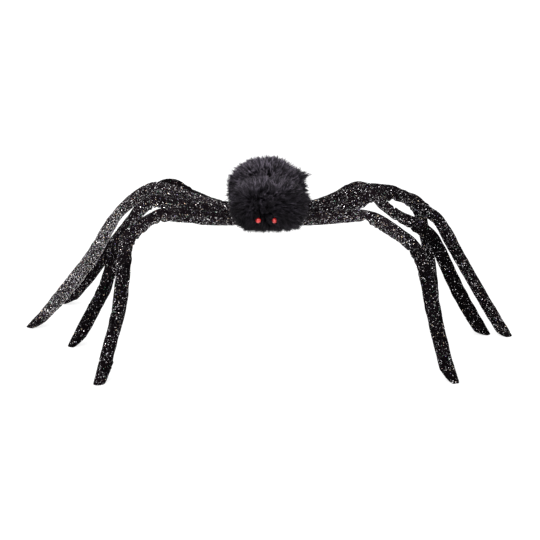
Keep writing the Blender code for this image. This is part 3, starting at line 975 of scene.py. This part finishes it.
def strand_points(ball, count, layer):
    """Root, middle, tip and shade of each strand, in millimetres. The shade carries random tone
    together with painted light and shade.
    """
    rng = np.random.default_rng(layer["seed"])
    shape_rng = np.random.default_rng(ball["seed"])
    centre = np.array(ball["centre"], dtype=float)
    depth = layer["length"] * math.cos(math.radians(ball["slant"])) + FUR_INSET
    whorls = even_directions(WHORLS, shape_rng, LOCK_JITTER)
    whorl_tilt = shape_rng.normal(0, WHORL_TILT, (WHORLS, 3))
    locks = even_directions(ball["locks"], shape_rng, LOCK_JITTER)
    lock_tilt = shape_rng.normal(0, LOCK_TILT, (len(locks), 3))
    lock_tilt = lock_tilt + whorl_tilt[nearest(locks, whorls)]
    lock_reach = shape_rng.uniform(*LOCK_REACH, len(locks))
    streaks = even_directions(len(locks) * STREAKS_PER_LOCK, shape_rng, LOCK_JITTER)
    lock_of = nearest(streaks, locks)
    streak_tilt = shape_rng.normal(0, STREAK_TILT, (len(streaks), 3)) + lock_tilt[lock_of]
    streak_reach = shape_rng.uniform(*STREAK_REACH, len(streaks)) * lock_reach[lock_of]
    dark = shape_rng.uniform(0, 1, len(streaks)) < DARK_STREAKS
    dark_shade = shape_rng.uniform(*DARK_RANGE, len(streaks))
    light_shade = shape_rng.uniform(*LIGHT_RANGE, len(streaks))
    streak_shade = np.where(dark, dark_shade, light_shade)
    streak_shade *= shape_rng.uniform(*LOCK_SHADE, len(locks))[lock_of]

    def grow(directions, reach, tilt):
        radius = ball_radius(directions, ball) + swelling(directions, ball) - depth
        root = centre + directions * radius[:, None]
        way = fur_way(directions, ball, ball["slant"], tilt)
        return root, root + way * (layer["length"] * reach)[:, None]

    lock_tip = grow(locks, lock_reach, lock_tilt)[1]
    streak_tip = grow(streaks, streak_reach, streak_tilt)[1]
    directions = even_directions(count, rng, STRAND_JITTER)
    lock = nearest(directions, locks)
    streak = nearest(directions, streaks)
    stray = rng.uniform(0, 1, count) < STRAY_SHARE
    bottom = ball["half"][2] - TRIM_HEIGHT
    risen = (directions[:, 2] * ball_radius(directions, ball) + bottom) / FRINGE_HEIGHT
    drawn = FRINGE_SHARE + (1 - FRINGE_SHARE) * smooth_step(risen)
    reach = rng.uniform(*STRAND_REACH, count) * (1 + (lock_reach[lock] - 1) * drawn)
    reach *= np.where(stray, STRAY_REACH, 1)
    root, own_tip = grow(directions, reach, lock_tilt[lock])
    own_tip = own_tip + rng.normal(0, layer["spread"], (count, 3)) * layer["length"]
    hold = (np.where(stray, 0, rng.uniform(*STRAND_HOLD, count)) * drawn)[:, None]
    tip = own_tip + (streak_tip[streak] - own_tip) * hold * STREAK_PULL
    tip = tip + (lock_tip[lock] - tip) * hold * LOCK_PULL
    for place in ball["tufts"]:
        place = np.array(place, dtype=float)
        way = unit(place - centre)
        near = np.linalg.norm(directions - way, axis=1) / TUFT_REACH
        pull = TUFT_PULL * np.clip(TUFT_EDGE - near, 0, 1) * rng.uniform(*TUFT_SPREAD, count)
        pull = pull[:, None]
        tip = tip * (1 - pull) + place * pull
    lowest = ball["centre"][2] - bottom - TRIM_SLANT * tip[:, 0]
    tip[:, 2] = np.maximum(tip[:, 2], lowest + TRIMMED * (tip[:, 2] - lowest))
    normal = ball_normal(directions, ball)
    span = tip - root
    length = np.linalg.norm(span, axis=1, keepdims=True)
    middle = root + span * 0.5 + normal * MIDDLE_RISE * length
    middle += rng.normal(0, MIDDLE_STRAY, (count, 3))
    # Random tone of the streaks and strands, times the painted light and shade of the region
    shade = streak_shade[streak] * rng.uniform(*STRAND_SHADE, count) * painted_light_and_shade(directions, ball)
    return root, middle, tip, shade


def part_at_eyes(points):
    """Moves points that hang before an eye aside, and says which were there."""
    hit = np.zeros(len(points), dtype=bool)
    for side in (-1, 1):
        offset = points - np.array((side * EYE_X, EYE_Y, EYE_Z + EYE_CLEAR_RISE), dtype=float)
        reach = offset[:, (0, 2)]
        distance = np.linalg.norm(reach, axis=1)
        before = (distance < EYE_CLEAR[side]) & (offset[:, 1] < EYE_RADIUS)
        push = EYE_CLEAR[side] / np.maximum(distance, EYE_NEAREST)
        moved = reach * push[:, None] - reach
        points[before, 0] += moved[before, 0]
        points[before, 2] += moved[before, 1]
        hit |= before
    return hit


def clear_of_legs(root):
    """Which roots lie outside the legs' first stretches."""
    keep = np.full(len(root), True)
    for rows in LEG_ROWS.values():
        start = np.array(rows[0][:3], dtype=float)
        end = np.array(rows[1][:3], dtype=float)
        along = np.clip((root - start) @ (end - start) / np.sum((end - start) ** 2), 0, 1)
        gap = np.linalg.norm(root - start - along[:, None] * (end - start), axis=1)
        keep &= gap > LEG_SIDE_ROOT + LEG_CLEAR
    return keep


def make_fur(name, ball, layer_name, material):
    """One layer of fur as closed three-sided tapering strands."""
    layer = FUR_LAYERS[layer_name]
    root, middle, tip, shade = strand_points(ball, ball[layer_name], layer)
    side = ball["side"]
    for points in (middle, tip):
        points[:, 1] = np.maximum(points[:, 1] * side, -TIP_WAIST) * side
    keep = (root[:, 1] * side > ROOT_WAIST) & clear_of_legs(root) & ~part_at_eyes(root)
    part_at_eyes(middle)
    part_at_eyes(tip)
    keep &= ~part_at_eyes((middle + tip) / 2)
    root, middle, tip, shade = root[keep], middle[keep], tip[keep], shade[keep]
    rng = np.random.default_rng(layer["seed"] + WIDTH_SEED)
    onwards = unit(tip - root)
    across = unit(np.cross(onwards, rng.normal(0, 1, onwards.shape)))
    other = np.cross(onwards, across)
    width = layer["half"] * rng.uniform(*STRAND_WIDTH, len(root))[:, None]
    corners = []
    for place, share in ((root, 1.0), (middle, MIDDLE_WIDTH)):
        corners += [place + way * width * share for way in triangle(across, other)]
    corners.append(tip)
    vertices = (np.stack(corners, axis=1) + CENTRE_SHIFT).reshape(-1, 3)
    sizes = [len(face) for face in STRAND_FACES]
    pattern = np.concatenate(STRAND_FACES)
    indices = (np.arange(len(root))[:, None] * len(corners) + pattern).reshape(-1)
    fur = new_mesh_object(name + "_" + layer_name, vertices, np.tile(sizes, len(root)), indices)
    # Painted shade at the roots and painted light on the tips
    along = np.repeat(PAINTED_LIGHT_ALONG, (3, 3, 1))
    store(fur, "shade", np.clip(shade[:, None] * along[None, :], 0, 1).ravel())
    fur.data.materials.append(material)
    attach(fur, "root")


def make_core(name, node, ball, material):
    """The stuffed ball under the fur, pressed flat at the waist."""
    bm = bmesh.new()
    bmesh.ops.create_icosphere(bm, subdivisions=CORE_SUBDIVISIONS, radius=1)
    way = unit(np.array([vertex.co[:] for vertex in bm.verts]))
    points = np.array(ball["centre"]) + way * (ball_radius(way, ball) - CORE_DEPTH)[:, None]
    points[:, 1] = np.maximum(points[:, 1] * ball["side"], CORE_WAIST) * ball["side"]
    points = (points + CENTRE_SHIFT) * MM
    for vertex, point in zip(bm.verts, points):
        vertex.co = point
    core = bmesh_object(name, bm)
    core.data.materials.append(material)
    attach(core, "root")
    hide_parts(node)


def make_eye(node, side, material):
    bm = bmesh.new()
    bmesh.ops.create_uvsphere(
        bm, u_segments=EYE_SEGMENTS, v_segments=EYE_RINGS, radius=EYE_RADIUS * MM)
    bead = bmesh_object(node + "_bead", bm)
    place = (Vector((side * EYE_X, EYE_Y, EYE_Z)) + Vector(CENTRE_SHIFT)) * MM
    bead.data.transform(Matrix.Translation(place))
    bead.data.materials.append(material)
    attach(bead, "root")
    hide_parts(node)


# Stage

def make_floor():
    corners = ((-1, -1, 0), (1, -1, 0), (1, 1, 0), (-1, 1, 0))
    vertices = np.array(corners, dtype=float) * FLOOR_HALF
    floor = new_mesh_object("floor", vertices, [4], [0, 1, 2, 3], smooth=False)
    floor.data.materials.append(floor_material())


def make_studio():
    scene = bpy.context.scene
    scene.view_settings.view_transform = "Standard"
    world = bpy.data.worlds.new("studio")
    world.use_nodes = True
    background = world.node_tree.nodes["Background"]
    background.inputs["Color"].default_value = (1, 1, 1, 1)
    background.inputs["Strength"].default_value = WORLD_STRENGTH
    scene.world = world
    lamp = bpy.data.lights.new("overhead_panel", "SUN")
    lamp.energy = OVERHEAD_STRENGTH
    lamp.angle = math.radians(OVERHEAD_SPREAD)
    overhead = new_object("overhead_panel", lamp)
    overhead.rotation_euler = [math.radians(part) for part in OVERHEAD_TILT]
    lamp = bpy.data.lights.new("front_panel", "AREA")
    lamp.shape = "DISK"
    lamp.size = FRONT_SIZE
    lamp.energy = FRONT_POWER
    front = new_object("front_panel", lamp)
    front.location = FRONT_PLACE
    aim = Vector(FRONT_AIM) - front.location
    front.rotation_euler = aim.to_track_quat("-Z", "Y").to_euler()
    camera = bpy.data.cameras.new("camera")
    camera.lens = CAMERA_LENS
    camera.sensor_width = CAMERA_SENSOR
    camera.clip_start, camera.clip_end = CAMERA_CLIP
    view = new_object("camera", camera)
    view.location = Vector(CAMERA_PLACE) * MM
    view.rotation_euler = (math.radians(CAMERA_TILT), 0, 0)
    scene.camera = view


def build():
    cloth = glitter_fabric()
    metal = glitter_flakes()
    for name, rows in LEG_ROWS.items():
        points, along = make_leg(name, rows, cloth)
        make_flakes(name, points, along, metal)
    backing = core_material()
    fur = fur_material()
    for name, ball in (("head", HEAD), ("abdomen", ABDOMEN)):
        make_core(name + "_plush", name, ball, backing)
        for layer_name in FUR_LAYERS:
            make_fur(name, ball, layer_name, fur)
    bead = bead_material()
    make_eye("eye_right", -1, bead)
    make_eye("eye_left", 1, bead)
    make_floor()
    make_studio()


build()
